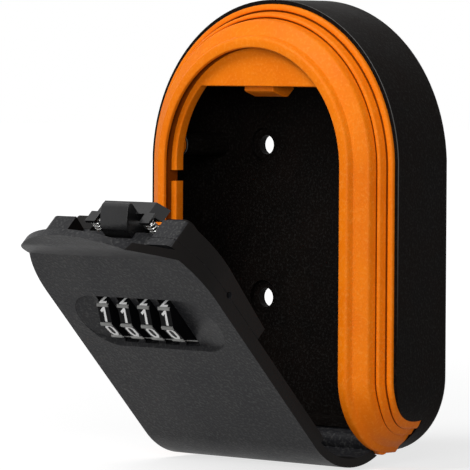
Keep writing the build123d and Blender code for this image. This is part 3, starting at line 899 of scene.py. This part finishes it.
# The strokes of each number on a field from -1 to 1 each way
RING = [(-1, -0.5), (-1, 0.5), (-0.5, 1), (0.5, 1), (1, 0.5), (1, -0.5), (0.5, -1), (-0.5, -1), (-1, -0.5)]
UPPER = [(0.5, 0.05), (1, 0.35), (1, 0.7), (0.5, 1), (-0.5, 1), (-1, 0.7), (-1, 0.35), (-0.5, 0.05)]
UPPER += UPPER[:1]
LOWER = [(-x, -y) for x, y in UPPER]
STROKES = [
    [RING],
    [[(-0.9, 0.45), (0.2, 1), (0.2, -1)]],
    [[(-1, 0.6), (-0.5, 1), (0.5, 1), (1, 0.6), (1, 0.25), (-1, -1), (1, -1)]],
    [[(-1, 1), (1, 1), (0, 0.2), (0.6, 0.2), (1, -0.1), (1, -0.7), (0.5, -1), (-0.5, -1), (-1, -0.7)]],
    [[(0.5, -1), (0.5, 1), (-1, -0.4), (1, -0.4)]],
    [[(0.9, 1), (-0.8, 1), (-0.9, 0.1), (0.5, 0.2), (1, -0.2), (1, -0.6), (0.5, -1), (-0.5, -1), (-1, -0.7)]],
    [[(0.7, 1), (-0.3, 0.9), (-0.9, 0.3), (-1, -0.4)], LOWER],
    [[(-1, 1), (1, 1), (-0.2, -1)]],
    [UPPER, LOWER],
    [[(-0.7, -1), (0.3, -0.9), (0.9, -0.3), (1, 0.4)], UPPER],
]


@dataclass
class NumberWheels:
    """The four number wheels, with raised white numbers and pale ridges between them, their pale grey a
    painted highlight.
    """

    finishes: Finishes
    door: DoorPlace
    pitch: float = 7.06
    width: float = 3.9
    flat: float = 7.75
    bore: float = 1.96
    count: int = 4
    ridge_angle: float = 80.0
    ridge_size: tuple[float, float] = (1.0, 0.9)
    ridge_rise: float = 0.25
    ridge_inset: float = 0.2
    ridge_fillet: float = 0.25
    number_size: tuple[float, float] = (2.1, 3.7)
    number_levels: tuple[float, float] = (-0.05, 0.07)
    stroke: float = 0.74

    def body(self) -> Shape:
        """The wheel itself: ten flats about a round bore.

        Returns:
            The shape, its axle along its third axis.
        """
        shape = Shape()
        sides = 2 * DIGITS
        corner = self.flat / cos(pi / DIGITS)
        turns = [radians(self.ridge_angle) + 2 * pi / DIGITS * k / 2 for k in range(sides)]
        outer = [corner if k % 2 == 0 else self.flat for k in range(sides)]
        half = self.width / 2
        rings = []
        for radii, level in ((None, -half), (outer, -half), (outer, half), (None, half), (None, -half)):
            radii = radii or [self.bore] * sides
            rings.append([Vector((r * cos(t), r * sin(t), level)) for r, t in zip(radii, turns)])
        shape.sweep(rings, caps=False)
        return shape

    def number(self, digit: int, place: Matrix) -> bpy.types.Mesh:
        """One number of even strokes, raised a little from its flat.

        Args:
            digit: which number.
            place: takes metres on the flat to the box's frame, with the third axis out of it.

        Returns:
            Its mesh in the box's frame.
        """
        shape = Shape()
        wide, tall = self.number_size
        for stroke in STROKES[digit]:
            path = [Vector((x * wide / 2, y * tall / 2)) for x, y in stroke]
            shape.ribbon(path, self.stroke, *self.number_levels)
        obj = shape.finish("number", [self.finishes.ink], place)
        mesh = obj.data
        bpy.data.objects.remove(obj)
        return mesh

    def build(self) -> None:
        """Build the four wheels on their axle."""
        ridges = ridge_tree()
        for index in range(self.count):
            across = (index - (self.count - 1) / 2) * self.pitch
            place = self.door.matrix(across, *self.door.axle) @ ACROSS
            wheel = self.body().finish(f"wheel_{index + 1}", [self.finishes.dial], place)
            meshes = [wheel.data]
            size = {
                "Count": DIGITS,
                "Radius": (self.flat + self.ridge_rise) * MM,
                "Length": (self.width - self.ridge_inset) * MM,
                "Width": self.ridge_size[0] * MM,
                "Height": self.ridge_size[1] * MM,
                "Fillet": self.ridge_fillet * MM,
                # The ridges' pale grey is a painted highlight
                "Material": self.finishes.ridge,
            }
            turned = Matrix.Rotation(radians(self.ridge_angle), 4, "Z")
            meshes.append(ridges.bake(size, place @ turned))
            for digit in range(DIGITS):
                turn = radians(self.ridge_angle + STEP / 2 - STEP * digit)
                out = Vector((cos(turn), sin(turn), 0))
                up = Vector((sin(turn), -cos(turn), 0))
                axle = Vector((0, 0, 1))
                spot = Matrix((axle, up, out)).transposed().to_4x4()
                spot = place @ Matrix.Translation(out * (self.flat * MM)) @ spot
                meshes.append(self.number(digit, spot))
            piece = join(f"number_wheel_{index + 1}", meshes)
            bpy.data.objects.remove(wheel)
            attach(piece, f"wheel_{index + 1}")
            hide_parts(f"dial_wheel_{index + 1}")
            LOG.info("number wheel %d built", index + 1)


@dataclass
class Springs:
    """The latch's two springs and the return spring of the code change."""

    finish: bpy.types.Material
    door: DoorPlace
    side_x: float = 9.3
    foot: tuple[float, float] = (76.3, 5.3)
    length: float = 8.6
    latch_turns: float = 9.0
    latch_radius: float = 1.15
    latch_wire: float = 0.25
    latch_stroke: float = 1.6
    change_turns: float = 4.0
    change_radius: float = 1.6
    change_wire: float = 0.2
    change_stroke: float = 1.4

    def keep(self, piece: bpy.types.Object, node: str) -> None:
        """Let a wound piece ride on the door in a carried-over spring's place.

        Args:
            piece: the wound piece.
            node: the node that it stands for.
        """
        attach(piece, "door")
        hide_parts(node)

    def latch_pair(self, tree: GeometryTree) -> None:
        """Wind the two springs below the latch at one length, though on the lock they shorten as it goes down.

        Args:
            tree: the tree that winds them.
        """
        meshes = []
        size = {
            "Turns": self.latch_turns, "Radius": self.latch_radius * MM, "Length": self.length * MM,
            "Wire": self.latch_wire * MM, "Material": self.finish,
        }
        for side in Side:
            place = self.door.matrix(side.value * self.side_x, *self.foot)
            meshes.append(tree.bake(size, place @ Matrix.Rotation(-pi / 2, 4, "X")))
        piece = join("latch_coils", meshes)
        self.keep(piece, "latch_springs")
        seat = self.door.matrix(0, *self.foot)
        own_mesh(piece)

    def change_return(self, tree: GeometryTree) -> None:
        """Wind the spring on the spindle at one length, though on the lock it shortens as the code is changed.

        Args:
            tree: the tree that winds it.
        """
        low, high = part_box("change_spring")
        wire = self.change_wire
        length = (high[0] - low[0]) / MM - 2 * wire
        seat = self.door.matrix(low[0] / MM + wire - self.door.middle, *self.door.axle)
        size = {
            "Turns": self.change_turns, "Radius": self.change_radius * MM, "Length": length * MM,
            "Wire": wire * MM, "Material": self.finish,
        }
        mesh = tree.bake(size, seat @ Matrix.Rotation(pi / 2, 4, "Y"))
        piece = join("change_coil", [mesh])
        self.keep(piece, "change_spring")
        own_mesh(piece)

    def build(self) -> None:
        """Wind the springs and let them stand for the carried-over ones."""
        tree = spring_tree()
        self.latch_pair(tree)
        self.change_return(tree)
        LOG.info("springs wound")


@dataclass(frozen=True)
class Lamp:
    """A soft square lamp turned to the box, with its place and side in metres and its power in watts."""

    name: str
    place: tuple[float, float, float]
    size: float
    power: float

    def hang(self) -> None:
        """Hang the lamp in its place."""
        data = bpy.data.lights.new(self.name, "AREA")
        data.shape = "SQUARE"
        data.size = self.size
        data.energy = self.power
        obj = bpy.data.objects.new(self.name, data)
        obj.location = self.place
        obj.rotation_mode = "QUATERNION"
        obj.rotation_quaternion = (-Vector(self.place)).to_track_quat("-Z", "Y")
        bpy.context.scene.collection.objects.link(obj)


@dataclass
class Studio:
    """The pale floor, the soft lamps, and a camera at the photograph's angle."""

    yaw: float = 0.746204473
    pitch: float = 0.0416234898
    roll: float = 0.00548307716
    place: tuple[float, float, float] = (0.73168, -0.82521, 0.04264)
    lens: float = 325.25
    sensor: float = 36.0
    clip: tuple[float, float] = (0.05, 20.0)
    floor_z: float = -0.0612
    floor_size: float = 8.0
    lift_reach: tuple[float, float] = (0.1, 0.7)
    floor_lift: float = 0.72
    floor_grey: float = 0.45
    world_fill: float = 0.13
    # The key lamp stands above the open door, and the fill is large and far, to the camera's side
    lamps: tuple[Lamp, ...] = (
        Lamp("key lamp", (-0.1, -0.42, 0.5), 0.32, 2.8),
        Lamp("front fill", (0.85, -1.1, 0.3), 0.6, 8.5),
    )

    def camera(self) -> None:
        """Place the camera where the photograph was taken from."""
        data = bpy.data.cameras.new("camera")
        data.lens = self.lens
        data.sensor_width = self.sensor
        data.clip_start, data.clip_end = self.clip
        right = Vector((cos(self.yaw), sin(self.yaw), 0))
        level = cos(self.pitch)
        back = Vector((sin(self.yaw) * level, -cos(self.yaw) * level, sin(self.pitch)))
        up = back.cross(right)
        turned = right * cos(self.roll) + up * sin(self.roll)
        upright = up * cos(self.roll) - right * sin(self.roll)
        obj = bpy.data.objects.new("camera", data)
        turn = Matrix((turned, upright, back)).transposed().to_4x4()
        obj.matrix_world = Matrix.Translation(Vector(self.place)) @ turn
        bpy.context.scene.collection.objects.link(obj)
        bpy.context.scene.camera = obj

    def shown(self, book: NodeBook) -> bpy.types.NodeSocket:
        """1 for rays that show a surface, straight or mirrored, and 0 for those that only light.

        Args:
            book: the tree that asks.

        Returns:
            The socket that holds it.
        """
        path = book.add("ShaderNodeLightPath").outputs
        total = {"operation": "ADD", "use_clamp": True}
        near = book.add("ShaderNodeMath", total, _0=path["Is Camera Ray"], _1=path["Is Glossy Ray"])
        through = path["Is Transmission Ray"]
        return book.add("ShaderNodeMath", total, _0=near.outputs[0], _1=through).outputs[0]

    def floor(self) -> None:
        """Lay a pale matt floor below the open door, which shows as white further out."""
        material = bpy.data.materials.new("pale floor")
        material.use_nodes = True
        book = NodeBook(material.node_tree)
        grey = (self.floor_grey, self.floor_grey, self.floor_grey, 1.0)
        shader = material.node_tree.nodes["Principled BSDF"]
        book.fill(shader, Base_Color=grey, Roughness=0.9, Specular_IOR_Level=0.0)
        place = book.add("ShaderNodeTexCoord").outputs["Object"]
        away = book.add("ShaderNodeVectorMath", {"operation": "LENGTH"}, Vector=place).outputs["Value"]
        near, far = self.lift_reach
        bright = book.add("ShaderNodeMapRange", Value=away, From_Min=near, From_Max=far)
        book.fill(bright, To_Min=self.floor_lift)
        product = {"operation": "MULTIPLY"}
        lift = book.add("ShaderNodeMath", product, _0=self.shown(book), _1=bright.outputs[0])
        glow = book.add("ShaderNodeEmission", Strength=lift.outputs[0])
        both = book.add("ShaderNodeAddShader", _0=shader.outputs[0], _1=glow.outputs[0])
        book.fill(material.node_tree.nodes["Material Output"], Surface=both.outputs[0])
        bpy.ops.mesh.primitive_plane_add(size=self.floor_size, location=(0, 0, self.floor_z))
        floor = bpy.context.object
        floor.name = "floor"
        floor.data.materials.append(material)

    def world(self) -> None:
        """Light the surroundings evenly and show them white."""
        world = bpy.data.worlds.new("studio")
        bpy.context.scene.world = world
        world.use_nodes = True
        book = NodeBook(world.node_tree)
        fill = book.fill(world.node_tree.nodes["Background"], Color=WHITE, Strength=self.world_fill)
        seen = book.add("ShaderNodeBackground", Color=WHITE, Strength=1.0)
        mix = book.add("ShaderNodeMixShader", _0=self.shown(book), _1=fill.outputs[0])
        book.fill(mix, _2=seen.outputs[0])
        book.fill(world.node_tree.nodes["World Output"], Surface=mix.outputs[0])

    def build(self) -> None:
        """Set up the whole studio."""
        bpy.context.scene.view_settings.view_transform = "Standard"
        self.camera()
        self.floor()
        self.world()
        for lamp in self.lamps:
            lamp.hang()
        LOG.info("studio ready")


def main() -> None:
    """Build the studio and every piece of the box."""
    logging.basicConfig(level=logging.INFO, format="%(name)s: %(message)s")
    Studio().build()
    finishes = Finishes()
    door = DoorPlace()
    FrontFrame(finishes.orange, finishes.groove).build()
    NumberWheels(finishes, door).build()
    Springs(finishes.spring, door).build()
    soft_copy("shell_body", "back_shell", finishes.shell, "case", width_mm=0.4)
    dress("frame_screws", finishes.screw)
    dress("hinge_pin", finishes.steel)
    face = soft_copy("door_face", "door_cover", finishes.door, "door", width_mm=0.35)
    # The door's sides, foot and back get the darker coat, partly as painted shade
    coat_and_shade_sides(face, door, least=0.2, material=finishes.inner)
    tray = soft_copy("door_tray", "inner_case", finishes.door, "door", width_mm=0.25)
    coat_and_shade_sides(tray, door, least=0.25, material=finishes.inner)
    soft_copy("lock_cover", "lock_housing", finishes.inner, "door", width_mm=0.25)
    dress("case_screws", finishes.screw)
    soft_copy("latch_slide", "latch", finishes.cast, "latch", width_mm=0.3)
    dress("finger_plate", finishes.steel)
    dress("dial_spindle", finishes.steel)
    dress("detent_spring", finishes.spring)
    dress("change_plate", finishes.steel)
    for index in range(1, 5):
        dress(f"cam_sleeve_{index}", finishes.brass)


if __name__ == "__main__":
    main()
